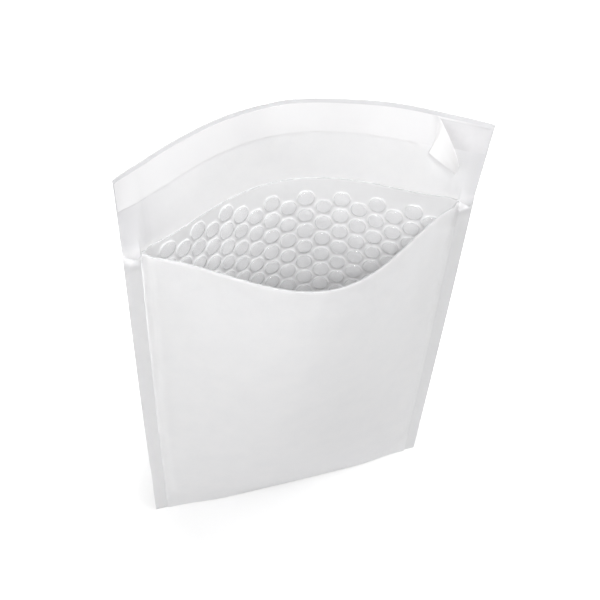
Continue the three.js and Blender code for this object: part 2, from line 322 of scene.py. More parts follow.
# A point of the wall at a length along the sheet from its middle and a share of the wall's height.
# beyondPad counts outward from the lining's outer face. side is 1 for the back wall and -1 for the front.
def wallPoint(along, share, beyondPad, side):
    lower, upper, part = levelAt(share)
    held = min(abs(along), sheetHalf)
    liningHalf = mix(lower["half"], upper["half"], part)
    x = mix(between(alongs, lower["xs"], held), between(alongs, upper["xs"], held), part)
    z = mix(between(alongs, lower["heights"], held), between(alongs, upper["heights"], held), part)
    offset = padAt(liningHalf - x, share) + beyondPad + wallDent(along, share, side)
    outX, outY = facePoint(x, liningHalf, share, offset)
    outward = bow(x, liningHalf - envelope["weldWidth"], 1)
    if side < 0:
        z -= envelope["frontDip"] * outward * smooth((share - 1) / envelope["frontDipShare"] + 1)
    return Vector((math.copysign(outX, along), side * outY, z))


# Under the pouch the walls turn into a fold with a flat underside. turn runs from 0 at the middle of the
# underside to 1 where the wall starts.
def foldPoint(along, turn, beyondPad, side):
    start = wallPoint(along, 0, beyondPad, side)
    floor = max(liningFloor - beyondPad, 0)
    reach = abs(start.y)
    radius = min(envelope["foldRadius"] + beyondPad, reach * envelope["foldRadiusShare"])
    flat, arc = reach - radius, radius * math.pi / 2
    rise = start.z - floor - radius
    way = turn * (flat + arc + rise)
    if way < flat:
        y, z = way, 0
    elif way < flat + arc:
        angle = (way - flat) / radius
        y, z = flat + radius * math.sin(angle), radius * (1 - math.cos(angle))
    else:
        y, z = reach, radius + way - flat - arc
    return Vector((start.x, side * y, floor + z))


# The flap: a ruled sheet from the back panel's mouth line to its bowed top edge

flap = {
    "height": 50.5 * mm,
    "topBow": 49.3 * mm,
    "bowPower": 1.6,
    "cornerForward": 3 * mm,
    "calmShare": 0.14,
    "wave": 0.3 * mm,
    "waveAcross": 17 * mm,
    "finerAcross": 7.3 * mm,
    "calmEnd": 20 * mm,
    "calmFoot": 0.3,
    "slopeReach": (0.5 * mm, 1.5 * mm),
    "adhesiveShares": (0.62, 0.93),
    "linerShares": (0.6, 0.95),
    "peelShare": 0.717,
}
outerSheet = {
    "thickness": 0.24 * mm,
    "columnStep": 2.1 * mm,
    "rowStep": 3.2 * mm,
    "bandColumns": (0.2, 0.45, 0.8, 1.4, 2.6, 4.2, 5.8, 7.2, 8.2, 9.0),  # mm beyond the lining's seam
    "bandHalfGap": 0.03 * mm,
    "bandSettle": 0.8 * mm,
    "foldTurns": (0.9, 0.78, 0.66, 0.56, 0.47, 0.38, 0.25, 0.1),
    "gapeDepth": (4.2 * mm, 6 * mm),
    "gapeHeight": 10 * mm,
    "gapePower": 0.7,
    "foldSpread": 1.6,
    "bandShade": 0.32,
    "endShade": (46 * mm, 24 * mm),
    "topShade": 0.95,
    "topStep": 0.004,
    "footShares": (0.012, 0.03),
    "footFade": 0.1,
    "lipShade": 1.2 * mm,
    "lipThickness": 0.3,
}


def evenly(start, end, step):
    count = max(round(abs(end - start) / step), 1)
    return [mix(start, end, i / count) for i in range(count + 1)]


def sheetColumns():
    inside = evenly(0, sheetHalf, outerSheet["columnStep"])
    inBand = [sheetHalf + place * mm for place in outerSheet["bandColumns"]]
    right = inside + inBand + [sheetHalf + bandLength]
    return [-along for along in reversed(right[1:])] + right


# The middle of the outer sheet, the welded side bands included
def sheetPoint(along, share, side, turn=None):
    beyond = max(abs(along) - sheetHalf, 0)
    held = math.copysign(min(abs(along), sheetHalf), along)
    if turn is None:
        point = wallPoint(held, share, sheetBeyondPad, side)
    else:
        point = foldPoint(held, turn, sheetBeyondPad, side)
    if beyond > 0:
        settled = smooth(beyond / outerSheet["bandSettle"])
        flatY = side * (outerSheet["thickness"] / 2 + outerSheet["bandHalfGap"])
        if turn is not None:
            flatY *= smooth(turn * outerSheet["foldSpread"])
        nearMouth = smooth((share - 1) * wallHeight / outerSheet["gapeHeight"] + 1) if side < 0 else 0
        inBand = math.sin(math.pi * min(beyond / bandLength, 1) ** outerSheet["gapePower"])
        gape = outerSheet["gapeDepth"][0 if along < 0 else 1] * nearMouth * inBand
        point.y = mix(point.y, flatY, settled) - gape
        point.x += math.copysign(beyond, along)
    return point


columnPlaces = sheetColumns()
mouthLine = [sheetPoint(along, 1, 1) for along in columnPlaces]


# How far along a line each of its points is, counted from its middle
def lengthsAlong(line):
    lengths = [0]
    for here, there in zip(line, line[1:]):
        lengths.append(lengths[-1] + (there - here).length)
    return [length - lengths[-1] / 2 for length in lengths]


mouthLengths = lengthsAlong(mouthLine)
flapEnd = mouthLengths[-1]


# The mouth line without the step that the lining's edge makes beside each side band
def calmedPoint(point, along):
    insides = [place for place, a in zip(mouthLine, columnPlaces) if abs(a) <= sheetHalf + 1e-9]
    start, stop = (mouthLine[0], insides[0]) if along < 0 else (mouthLine[-1], insides[-1])
    share = (point.x - start.x) / (stop.x - start.x)
    return start.lerp(stop, share) if share < 1 else point.copy()


calmLine = [calmedPoint(point, along) for point, along in zip(mouthLine, columnPlaces)]


# The flap's top edge as seen from above
def topBow(halfSpan, steps=120):
    line = []
    for i in range(-steps, steps + 1):
        t = i / steps
        y = flap["topBow"] * (1 - abs(t) ** flap["bowPower"]) - flap["cornerForward"]
        line.append(Vector((t * halfSpan, y, 0)))
    return line


topHalf = halved(halfWidth / 2, halfWidth, lambda half: lengthsAlong(topBow(half))[-1] > flapEnd)
topLine = topBow(topHalf)
topLengths = lengthsAlong(topLine)


# A point of the flap before its soft waves, at a length across from its middle and a share of its height
def flapPlace(across, share):
    foot = between(mouthLengths, mouthLine, across)
    calmFoot = between(mouthLengths, calmLine, across)
    foot = foot.lerp(calmFoot, smooth(share / flap["calmShare"]))
    head = between(topLengths, topLine, across)
    move = math.hypot(head.x - foot.x, head.y - foot.y)
    head.z = foot.z + math.sqrt(flap["height"] ** 2 - move ** 2)
    return foot.lerp(head, share)


# The level direction that the flap's front faces
def flapForward(across, share):
    shortest, longest = flap["slopeReach"]
    reach = min(longest, flapEnd - abs(across) + shortest)
    onward = flapPlace(across + reach, share) - flapPlace(across - reach, share)
    return Vector((onward.y, -onward.x, 0)).normalized()


def flapWave(across, share):
    wave = math.sin(across / flap["waveAcross"] + 0.6)
    wave += 0.5 * math.sin(across / flap["finerAcross"] + 3 * share)
    nearEnd = smooth((flapEnd - abs(across)) / flap["calmEnd"])
    return flap["wave"] * wave * smooth(share / flap["calmFoot"]) * nearEnd


# A point this far in front of the flap's middle
def flapPoint(across, share, forward):
    return flapPlace(across, share) + flapForward(across, share) * (forward + flapWave(across, share))


# Node groups that more than one finish uses

def newGroup(name, inputs, outputs):
    group = bpy.data.node_groups.new(name, "ShaderNodeTree")
    for label, kind, value in inputs:
        socket = group.interface.new_socket(label, in_out="INPUT", socket_type=kind)
        socket.default_value = value
    for label, kind in outputs:
        group.interface.new_socket(label, in_out="OUTPUT", socket_type=kind)
    start = group.nodes.new("NodeGroupInput")
    end = group.nodes.new("NodeGroupOutput")
    return group, start, end


# links gives a socket to join or a value for each input, and settings the node's own properties
def addNode(tree, kind, links=None, **settings):
    node = tree.nodes.new(kind)
    for key, value in settings.items():
        setattr(node, key, value)
    for key, value in (links or {}).items():
        if isinstance(value, bpy.types.NodeSocket):
            tree.links.new(value, node.inputs[key])
        else:
            node.inputs[key].default_value = value
    return node


def newMaterial(name):
    material = bpy.data.materials.new(name)
    material.use_nodes = True
    tree = material.node_tree
    shader = tree.nodes["Principled BSDF"]
    return material, tree, shader


# Fine grain of a calendered sheet: a little lighter and darker in spots, with a soft uneven surface
def makeSheetGrain():
    group, start, end = newGroup(
        "sheetGrain",
        [
            ("Colour", "NodeSocketColor", (0.85, 0.85, 0.86, 1)),
            ("Shade", "NodeSocketColor", (0.8, 0.8, 0.82, 1)),
            ("Spot Size", "NodeSocketFloat", 90),
            ("Fibre Size", "NodeSocketFloat", 900),
            ("Roughness", "NodeSocketFloat", 0.5),
            ("Roughness Spread", "NodeSocketFloat", 0.08),
        ],
        [("Colour", "NodeSocketColor"), ("Roughness", "NodeSocketFloat"), ("Height", "NodeSocketFloat")],
    )
    place = addNode(group, "ShaderNodeTexCoord").outputs["Object"]
    spots = {"Vector": place, "Scale": start.outputs["Spot Size"], "Detail": 4, "Roughness": 0.6}
    cloud = addNode(group, "ShaderNodeTexNoise", spots)
    fibres = {"Vector": place, "Scale": start.outputs["Fibre Size"], "Detail": 3, "Roughness": 0.7}
    fibre = addNode(group, "ShaderNodeTexNoise", fibres)
    shares = {"Factor": 0.35, "A": cloud.outputs["Fac"], "B": fibre.outputs["Fac"]}
    both = addNode(group, "ShaderNodeMix", shares, data_type="FLOAT")
    reach = {"Value": both.outputs["Result"], "From Min": 0.35, "From Max": 0.65}
    ramp = addNode(group, "ShaderNodeMapRange", reach)
    tint = addNode(group, "ShaderNodeMix", {"Factor": ramp.outputs["Result"]}, data_type="RGBA")
    group.links.new(start.outputs["Shade"], tint.inputs["A"])
    group.links.new(start.outputs["Colour"], tint.inputs["B"])
    swing = addNode(group, "ShaderNodeMath", {0: ramp.outputs["Result"], 1: 0.5}, operation="SUBTRACT")
    scaled = {
        0: swing.outputs[0],
        1: start.outputs["Roughness Spread"],
        2: start.outputs["Roughness"],
    }
    spread = addNode(group, "ShaderNodeMath", scaled, operation="MULTIPLY_ADD")
    group.links.new(tint.outputs["Result"], end.inputs["Colour"])
    group.links.new(spread.outputs[0], end.inputs["Roughness"])
    group.links.new(both.outputs["Result"], end.inputs["Height"])
    return group


# Clear film: faint haze, and fine tight creases as stretched film has
def makeFilmHaze():
    group, start, end = newGroup(
        "filmHaze",
        [
            ("Colour", "NodeSocketColor", (0.78, 0.78, 0.79, 1)),
            ("Haze Colour", "NodeSocketColor", (0.86, 0.86, 0.87, 1)),
            ("Haze Size", "NodeSocketFloat", 120),
            ("Crease Size", "NodeSocketFloat", 320),
            ("Roughness", "NodeSocketFloat", 0.12),
            ("Roughness Spread", "NodeSocketFloat", 0.12),
        ],
        [("Colour", "NodeSocketColor"), ("Roughness", "NodeSocketFloat"), ("Height", "NodeSocketFloat")],
    )
    place = addNode(group, "ShaderNodeTexCoord").outputs["Object"]
    clouds = {"Vector": place, "Scale": start.outputs["Haze Size"], "Detail": 3}
    haze = addNode(group, "ShaderNodeTexNoise", clouds)
    cells = {"Vector": place, "Scale": start.outputs["Crease Size"], "Randomness": 0.9}
    crease = addNode(group, "ShaderNodeTexVoronoi", cells, feature="SMOOTH_F1")
    reach = {"Value": haze.outputs["Fac"], "From Min": 0.4, "From Max": 0.62}
    ramp = addNode(group, "ShaderNodeMapRange", reach)
    tint = addNode(group, "ShaderNodeMix", {"Factor": ramp.outputs["Result"]}, data_type="RGBA")
    group.links.new(start.outputs["Colour"], tint.inputs["A"])
    group.links.new(start.outputs["Haze Colour"], tint.inputs["B"])
    scaled = {
        0: ramp.outputs["Result"],
        1: start.outputs["Roughness Spread"],
        2: start.outputs["Roughness"],
    }
    spread = addNode(group, "ShaderNodeMath", scaled, operation="MULTIPLY_ADD")
    halves = {"Factor": 0.5, "A": haze.outputs["Fac"], "B": crease.outputs["Distance"]}
    height = addNode(group, "ShaderNodeMix", halves, data_type="FLOAT")
    group.links.new(tint.outputs["Result"], end.inputs["Colour"])
    group.links.new(spread.outputs[0], end.inputs["Roughness"])
    group.links.new(height.outputs["Result"], end.inputs["Height"])
    return group


sheetGrain = makeSheetGrain()
filmHaze = makeFilmHaze()


# Places a group in a material. bump is the strength and the depth of its relief.
def grained(tree, shader, group, values, bump):
    node = addNode(tree, "ShaderNodeGroup", node_tree=group)
    for key, value in values.items():
        node.inputs[key].default_value = value
    tree.links.new(node.outputs["Colour"], shader.inputs["Base Color"])
    tree.links.new(node.outputs["Roughness"], shader.inputs["Roughness"])
    strength, depth = bump
    surface = {"Height": node.outputs["Height"], "Strength": strength, "Distance": depth}
    relief = addNode(tree, "ShaderNodeBump", surface)
    tree.links.new(relief.outputs["Normal"], shader.inputs["Normal"])
    return node


# Leads the colour over to another one where the mesh is painted
def tinted(tree, shader, grain, attribute, colour):
    paint = addNode(tree, "ShaderNodeAttribute", attribute_name=attribute).outputs["Fac"]
    tint = addNode(tree, "ShaderNodeMix", {"Factor": paint}, data_type="RGBA")
    tree.links.new(grain.outputs["Colour"], tint.inputs["A"])
    tint.inputs["B"].default_value = colour
    tree.links.new(tint.outputs["Result"], shader.inputs["Base Color"])
    return paint


def whiteSheetMaterial():
    material, tree, shader = newMaterial("whiteSheet")
    values = {
        "Colour": (0.87, 0.862, 0.868, 1),
        "Shade": (0.835, 0.832, 0.845, 1),
        "Spot Size": 70,
        "Fibre Size": 1100,
        "Roughness": 0.5,
        "Roughness Spread": 0.1,
    }
    grain = grained(tree, shader, sheetGrain, values, bump=(0.25, 0.15 * mm))
    # Painted shade, with some of the seals' own grey: the bands, the flap's ends, the lip and the top edge
    # turn to this grey
    tinted(tree, shader, grain, "sealAndShade", (0.66, 0.658, 0.672, 1))
    shader.inputs["Subsurface Weight"].default_value = 1
    shader.inputs["Subsurface Radius"].default_value = (1, 1, 1)
    shader.inputs["Subsurface Scale"].default_value = 1 * mm
    return material


# The film is drawn thin and clear over the domes, tinted grey there as painted shade for their refraction.
# It stays milky where it is welded, at the domes' feet, and near white there, partly as a painted sheen.
def bubbleFilmMaterial():
    material, tree, shader = newMaterial("bubbleFilm")
    values = {
        # Painted shade: the grey tint that the clear domes take
        "Colour": (0.78, 0.78, 0.8, 1),
        "Haze Colour": (0.9, 0.9, 0.91, 1),
        "Haze Size": 140,
        "Crease Size": 300,
        "Roughness": 0.06,
        "Roughness Spread": 0.1,
    }
    grain = grained(tree, shader, filmHaze, values, bump=(0.6, 0.35 * mm))
    # Painted sheen, with the weld's own milkiness: the web between the domes turns near white
    weldAndSheen = tinted(tree, shader, grain, "weldAndSheen", (0.985, 0.985, 0.99, 1))
    edge = addNode(tree, "ShaderNodeLayerWeight", {"Blend": 0.3}).outputs["Facing"]
    clear = addNode(tree, "ShaderNodeMapRange", {"Value": edge, "To Min": 0.15, "To Max": 0.3})
    milky = addNode(tree, "ShaderNodeMapRange", {"Value": weldAndSheen, "To Min": 0, "To Max": 0.5})
    alpha = addNode(
        tree,
        "ShaderNodeMath",
        {0: clear.outputs["Result"], 1: milky.outputs["Result"]},
        operation="ADD",
        use_clamp=True,
    )
    tree.links.new(alpha.outputs[0], shader.inputs["Alpha"])
    shader.inputs["Specular IOR Level"].default_value = 1
    return material


def adhesiveMaterial():
    material, tree, shader = newMaterial("tackyAdhesive")
    values = {
        "Colour": (0.69, 0.685, 0.695, 1),
        "Haze Colour": (0.71, 0.705, 0.715, 1),
        "Haze Size": 200,
        "Crease Size": 700,
        "Roughness": 0.42,
        "Roughness Spread": 0.1,
    }
    grained(tree, shader, filmHaze, values, bump=(0.2, 0.1 * mm))
    return material


def linerMaterial():
    material, tree, shader = newMaterial("releaseLiner")
    values = {
        "Colour": (0.84, 0.835, 0.838, 1),
        "Shade": (0.82, 0.818, 0.825, 1),
        "Spot Size": 50,
        "Fibre Size": 1400,
        "Roughness": 0.55,
        "Roughness Spread": 0.08,
    }
    grain = grained(tree, shader, sheetGrain, values, bump=(0.12, 0.1 * mm))
    # Painted light on the loose end, which turns to this near white
    tinted(tree, shader, grain, "looseWhiteAndLit", (0.97, 0.965, 0.965, 1))
    shader.inputs["Specular IOR Level"].default_value = 0.3
    return material


# The outer envelope: one sheet from the front mouth edge down, under the fold and up to the flap's top

def flapShares():
    shares = evenly(0, 1, outerSheet["rowStep"] / flap["height"])[1:]
    edges = [outerSheet["topShade"] + step for step in (-outerSheet["topStep"], outerSheet["topStep"])]
    return sorted(shares + list(outerSheet["footShares"]) + edges)


def outerEnvelopeRows():
    rows = []
    heightSteps = evenly(1, 0, outerSheet["rowStep"] / wallHeight)
    belowLip = 1 - outerSheet["lipShade"] / wallHeight
    for share in [1, belowLip] + heightSteps[1:]:
        rows.append([sheetPoint(along, share, -1) for along in columnPlaces])
    turns = outerSheet["foldTurns"]
    for turn in turns:
        rows.append([sheetPoint(along, 0, -1, turn) for along in columnPlaces])
    for turn in reversed(turns):
        rows.append([sheetPoint(along, 0, 1, turn) for along in columnPlaces])
    for share in reversed(heightSteps):
        rows.append([sheetPoint(along, share, 1) for along in columnPlaces])
    for share in flapShares():
        rows.append([flapPoint(across, share, 0) for across in mouthLengths])
    return rows


def applyModifiers(piece):
    bpy.context.view_layer.objects.active = piece
    for modifier in list(piece.modifiers):
        bpy.ops.object.modifier_apply(modifier=modifier.name)


# The heat seals' bands are painted greyer than the backed panels, partly their own tone, partly painted
# shade.
# Up the flap, where no lining backs the sheet, painted shade fades inward from each end over a longer way.
# The front lip and the flap's top edge get a thin line of painted shade.
def paintSealAndShade(mesh, rowCount):
    layer = mesh.attributes.new("sealAndShade", "FLOAT", "POINT")
    shares = [0] + flapShares()
    width = len(columnPlaces)
    for index, value in enumerate(layer.data):
        row, column = divmod(index, width)
        upFlap = shares[max(row - (rowCount - len(shares)), 0)]
        beyond = abs(columnPlaces[column]) - sheetHalf
        sealAndShade = outerSheet["bandShade"] if beyond > 0.1 * mm else 0
        if upFlap > 0:
            reach = outerSheet["endShade"][0 if columnPlaces[column] < 0 else 1]
            # Painted shade on the flap's ends, reaching further in at the left end
            inward = smooth(1 + (beyond - bandLength) / reach)
            faded = mix(sealAndShade, inward, smooth(upFlap / outerSheet["footFade"]))
            sealAndShade = 1 if upFlap > outerSheet["topShade"] else faded
        value.value = 1 if row == 0 else sealAndShade


def makeOuterEnvelope():
    rows = outerEnvelopeRows()
    points = [point for row in rows for point in row]
    faces = gridFaces(len(rows), len(rows[0]))
    piece = meshObject("outerSheet", points, faces, whiteSheetMaterial())
    paintSealAndShade(piece.data, len(rows))
    width = len(rows[0])
    thinned = piece.vertex_groups.new(name="thinned")
    thinned.add(range(width, len(points)), 1, "REPLACE")
    thinned.add(range(width), outerSheet["lipThickness"], "REPLACE")
    shell = piece.modifiers.new("sheet", "SOLIDIFY")
    shell.thickness = outerSheet["thickness"]
    shell.offset = 0
    shell.vertex_group = thinned.name
    applyModifiers(piece)
    shadeCrisp(piece.data)
    return piece


outerPiece = makeOuterEnvelope()
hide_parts("outer_envelope")
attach(outerPiece, "root")
print("outer envelope:", len(outerPiece.data.polygons), "faces")


# The bubble lining: one web of film with domes in close-packed columns

bubbleLining = {
    "pitch": 12.16 * mm,
    "footRadius": 5.25 * mm,
    "footRoom": 0.3 * mm,
    "height": 2.5 * mm,
    "roundness": 0.95,
    "film": 0.12 * mm,
    "sides": 18,
    "ringAngles": (0, 21, 43, 66),
    "radiusSpread": (0.93, 1.02),
    "heightSpread": (0.88, 1.03),
    "leanSpread": (0.05, 0.22),
    "placeSpread": 0.15 * mm,
    "slackShare": 0.42,
    "slackHeight": (0.5, 0.85),
    "slackTop": 0.8,
    "weldSheenRise": 0.3,
    "marginStart": -52 * mm,
    "marginRamp": 30 * mm,
    "shift": (1.5 * mm, 4 * mm),
    "backMargin": 8.5 * mm,
    "frontMargin": 4 * mm,
    "sideMargin": 2.5 * mm,
    "foldLength": 8.2 * mm,
    "crushedFold": 9 * mm,
    "bendZone": 30 * mm,
    "cutWeldSheen": 0.3,
    "cutBand": 0.8 * mm,
    "cutReach": 0.05 * mm,
    "crispDegrees": 80,
    "seed": 11,
}
foldLength = bubbleLining["foldLength"]
filmTop = foldLength + wallHeight
filmHalf = sheetHalf


# A point of the film at u across and v up the back wall, or down from 0 up the front wall. lift counts
# inward from the film's outer face.
def filmPoint(u, v, lift):
    side = 1 if v >= 0 else -1
    beyondFold = abs(v) - foldLength
    if beyondFold < 0:
        return foldPoint(u, abs(v) / foldLength, -lift, side)
    return wallPoint(u, min(beyondFold / wallHeight, 1), -lift, side)


# Where a line from a hexagonal cell's centre meets the cell's edge
def hexPoint(centre, angle, pitch):
    fromMiddle = math.radians((angle % 60) - 30)
    reach = pitch / 2 / math.cos(fromMiddle)
    turned = math.radians(angle)
    return centre[0] + reach * math.cos(turned), centre[1] + reach * math.sin(turned)


# How far below its cut end the lining has no bubbles
def topMargin(u, side):
    if side < 0:
        return bubbleLining["frontMargin"]
    inward = (u - bubbleLining["marginStart"]) / bubbleLining["marginRamp"]
    return bubbleLining["backMargin"] * smooth(inward)


def hasBubble(u, v):
    reach = bubbleLining["footRadius"] + bubbleLining["footRoom"]
    side = 1 if v >= 0 else -1
    inSides = abs(u) + reach < filmHalf - bubbleLining["sideMargin"]
    inTop = abs(v) + reach < filmTop - topMargin(u, side)
    return inSides and inTop and abs(v) - reach > bubbleLining["crushedFold"]


# The film laid out flat, with x across, y along and z the lift. Cells at its edges stay flat.
def flatFilm():
    chance = random.Random(bubbleLining["seed"])
    pitch, sides = bubbleLining["pitch"], bubbleLining["sides"]
    columnStep = pitch * math.sqrt(3) / 2
    film = bubbleLining["film"]
    web = bmesh.new()
    corners = {}

    def corner(u, v, lift):
        key = (round(u * 1e7), round(v * 1e7), lift > 0)
        if key not in corners:
            corners[key] = web.verts.new((u, v, lift))
        return corners[key]

    angles = [360 * i / sides for i in range(sides)]
    columnReach = math.ceil(filmHalf / columnStep) + 1
    rowReach = math.ceil(filmTop / pitch) + 1
    for column in range(-columnReach, columnReach + 1):
        for row in range(-rowReach, rowReach + 1):
            u = column * columnStep + bubbleLining["shift"][0]
            v = (row + 0.5 * (column % 2)) * pitch + bubbleLining["shift"][1]
            if abs(u) > filmHalf + pitch or abs(v) > filmTop + pitch:
                continue
            edge = [hexPoint((u, v), angle, pitch) for angle in angles]
            addFan(web, (u, v, 0), [corner(*point, 0) for point in reversed(edge)])
            rim = [corner(*point, film) for point in edge]
            if hasBubble(u, v):
                addBubble(web, (u, v), rim, angles, film, chance)
            else:
                addFan(web, (u, v, film), rim)
    return web


# A flat cell as a fan, with a ring more near the seams, where the wall bends most
def addFan(web, centre, rim):
    middle = web.verts.new(centre)
    last = rim
    if filmHalf - abs(centre[0]) < bubbleLining["bendZone"]:
        inner = [web.verts.new(vert.co.lerp(middle.co, 0.5)) for vert in rim]
        for i in range(len(rim)):
            j = (i + 1) % len(rim)
            web.faces.new((rim[i], rim[j], inner[j], inner[i]))
        last = inner
    for i in range(len(last)):
        web.faces.new((last[i], last[(i + 1) % len(last)], middle))


def addBubble(web, centre, rim, angles, film, chance):
    radius = bubbleLining["footRadius"] * chance.uniform(*bubbleLining["radiusSpread"])
    height = bubbleLining["height"] * chance.uniform(*bubbleLining["heightSpread"])
    slack = chance.random() < bubbleLining["slackShare"]
    if slack:
        height *= chance.uniform(*bubbleLining["slackHeight"])
    lean = chance.uniform(*bubbleLining["leanSpread"]) * (2 if slack else 1)
    leanAngle = chance.uniform(0, 360)
    off = bubbleLining["placeSpread"]
    centre = (centre[0] + chance.uniform(-off, off), centre[1] + chance.uniform(-off, off))
    last = rim
    for ringAngle in bubbleLining["ringAngles"]:
        share = math.cos(math.radians(ringAngle))
        up = math.sin(math.radians(ringAngle)) ** bubbleLining["roundness"]
        ring = []
        for angle in angles:
            leaning = 1 + lean * share * math.cos(math.radians(angle - leanAngle))
            u = centre[0] + radius * share * math.cos(math.radians(angle))
            v = centre[1] + radius * share * math.sin(math.radians(angle))
            ring.append(web.verts.new((u, v, film + height * up * leaning)))
        for i in range(len(ring)):
            j = (i + 1) % len(ring)
            web.faces.new((last[i], last[j], ring[j], ring[i]))
        last = ring
    top = web.verts.new((*centre, film + height * (bubbleLining["slackTop"] if slack else 1)))
    for i in range(len(last)):
        web.faces.new((last[i], last[(i + 1) % len(last)], top))


# Cuts the film off at its edges, with a line more just below each end for the paint
def trimFilm(web):
    sides = [((filmHalf, 0, 0), (1, 0, 0)), ((-filmHalf, 0, 0), (-1, 0, 0))]
    ends = [((0, filmTop, 0), (0, 1, 0)), ((0, -filmTop, 0), (0, -1, 0))]
    for place, outward in sides + ends:
        everything = web.verts[:] + web.edges[:] + web.faces[:]
        bmesh.ops.bisect_plane(web, geom=everything, plane_co=place, plane_no=outward, clear_outer=True)
    belowCut = filmTop - bubbleLining["cutBand"]
    for place, outward in (((0, belowCut, 0), (0, 1, 0)), ((0, -belowCut, 0), (0, -1, 0))):
        everything = web.verts[:] + web.edges[:] + web.faces[:]
        bmesh.ops.bisect_plane(web, geom=everything, plane_co=place, plane_no=outward)
    bmesh.ops.remove_doubles(web, verts=web.verts[:], dist=1e-6)


def closeRim(web):
    half = bubbleLining["film"] / 2
    isRim = lambda edge: len(edge.link_faces) == 1
    keyOf = lambda vert: (round(vert.co.x * 1e6), round(vert.co.y * 1e6))
    lower = [vert for vert in web.verts if vert.co.z < half and any(map(isRim, vert.link_edges))]
    below = {keyOf(vert): vert for vert in lower}
    rims = [edge for edge in web.edges if isRim(edge) and edge.verts[0].co.z > half]
    for edge in rims:
        first, second = edge.verts
        pair = below.get(keyOf(first)), below.get(keyOf(second))
        if None not in pair:
            web.faces.new((first, second, pair[1], pair[0]))
    bmesh.ops.recalc_face_normals(web, faces=web.faces[:])


# The domes rise less where the room between sheet and weld is thin
def bendFilm(web):
    for vert in web.verts:
        u, v, lift = vert.co
        share = min(max(abs(v) - foldLength, 0) / wallHeight, 1)
        room = padAt(filmHalf - abs(u), share) / envelope["padThickness"]
        vert.co = filmPoint(u, v, lift * room)


# How much milky weld and painted sheen shows at each point: all between the domes, none on them,
# little at cut ends
def paintWeldAndSheen(web, layer):
    film, height = bubbleLining["film"], bubbleLining["height"]
    for vert in web.verts:
        rise = (vert.co.z - film) / height
        isCut = abs(vert.co.y) > filmTop - bubbleLining["cutReach"]
        shown = max(1 - max(rise, 0) / bubbleLining["weldSheenRise"], 0)
        vert[layer] = shown * (bubbleLining["cutWeldSheen"] if isCut else 1)


def makeBubbleLining():
    web = flatFilm()
    trimFilm(web)
    closeRim(web)
    openEdges = sum(1 for edge in web.edges if len(edge.link_faces) != 2)
    paintWeldAndSheen(web, web.verts.layers.float.new("weldAndSheen"))
    bendFilm(web)
    mesh = bpy.data.meshes.new("bubbleLining")
    web.to_mesh(mesh)
    web.free()
    mesh.materials.append(bubbleFilmMaterial())
    shadeCrisp(mesh, bubbleLining["crispDegrees"])
    piece = bpy.data.objects.new("bubbleLining", mesh)
    bpy.context.scene.collection.objects.link(piece)
    print("bubble lining:", len(mesh.polygons), "faces,", openEdges, "open edges")
    return piece


liningPiece = makeBubbleLining()
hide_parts("bubble_lining")
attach(liningPiece, "root")


# The adhesive band across the flap

adhesive = {
    "margin": 1 * mm,
    "back": 0.2 * mm,
    "thickness": 0.06 * mm,
    "columnStep": 1.6 * mm,
    "rows": 9,
    "ripple": 0.015 * mm,
    "rippleAcross": 2.3 * mm,
    "rippleTurn": 5 * mm,
}


def makeAdhesive():
    low, high = flap["adhesiveShares"]
    columns = evenly(adhesive["margin"] - flapEnd, flapEnd - adhesive["margin"], adhesive["columnStep"])

    def surface(forward, ripple):
        rows = []
        for i in range(adhesive["rows"]):
            share = mix(low, high, i / (adhesive["rows"] - 1))
            row = []
            for across in columns:
                bump = math.sin(across / adhesive["rippleAcross"])
                bump *= math.sin(i * 1.9 + across / adhesive["rippleTurn"])
                row.append(flapPoint(across, share, forward + ripple * bump))
            rows.append(row)
        return rows

    front = surface(adhesive["back"] + adhesive["thickness"], adhesive["ripple"])
    points, faces = closedStrip(front, surface(adhesive["back"], 0))
    return meshObject("adhesiveBand", points, faces, adhesiveMaterial())


adhesivePiece = makeAdhesive()
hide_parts("adhesive_strip")
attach(adhesivePiece, "root")
print("adhesive band made")


# The release liner over the adhesive, with its right end peeled off and drooping

liner = {
    "margin": 0.5 * mm,
    "back": 0.28 * mm,
    "thickness": 0.08 * mm,
    "columnStep": 1.6 * mm,
    "rows": 11,
    "looseColumns": 26,
    "whiteningColumns": 4,
    # Steps in mm from the peel: along the flap, forward of it and up it
    "looseLowerEdge": (
        (1.8, 0.2, 0),
        (2.4, 1.2, 0),
        (1.2, 3, -0.4),
        (0.6, 5, -1),
        (3.5, 6.2, -2.3),
        (10, 7.8, -5),
        (16.7, 10, -7.5),
    ),
    "looseUpperEdge": (
        (3, 2, -0.2),
        (5.2, 5.2, -1.1),
        (9.7, 10.7, -4),
        (14, 16, -7.6),
        (17.7, 21.5, -11.6),
    ),
}


# A smooth line through points, as evenly spaced points
def smoothLine(points, count, stepsEach=12):
    padded = [points[0] * 2 - points[1]] + points + [points[-1] * 2 - points[-2]]
    dense = []
    for a, b, c, d in zip(padded, padded[1:], padded[2:], padded[3:]):
        steps = [0, (b - a).length ** 0.5, (c - b).length ** 0.5, (d - c).length ** 0.5]
        t0, t1 = 0, steps[1]
        t2 = t1 + steps[2]
        t3 = t2 + steps[3]
        for i in range(stepsEach):
            t = mix(t1, t2, i / stepsEach)
            ab = a.lerp(b, (t - t0) / (t1 - t0))
            bc = b.lerp(c, (t - t1) / (t2 - t1))
            cd = c.lerp(d, (t - t2) / (t3 - t2))
            abc = ab.lerp(bc, (t - t0) / (t2 - t0))
            bcd = bc.lerp(cd, (t - t1) / (t3 - t1))
            dense.append(abc.lerp(bcd, (t - t1) / (t2 - t1)))
    dense.append(points[-1])
    lengths = lengthsAlong(dense)
    return [between(lengths, dense, mix(lengths[0], lengths[-1], i / count)) for i in range(count + 1)]


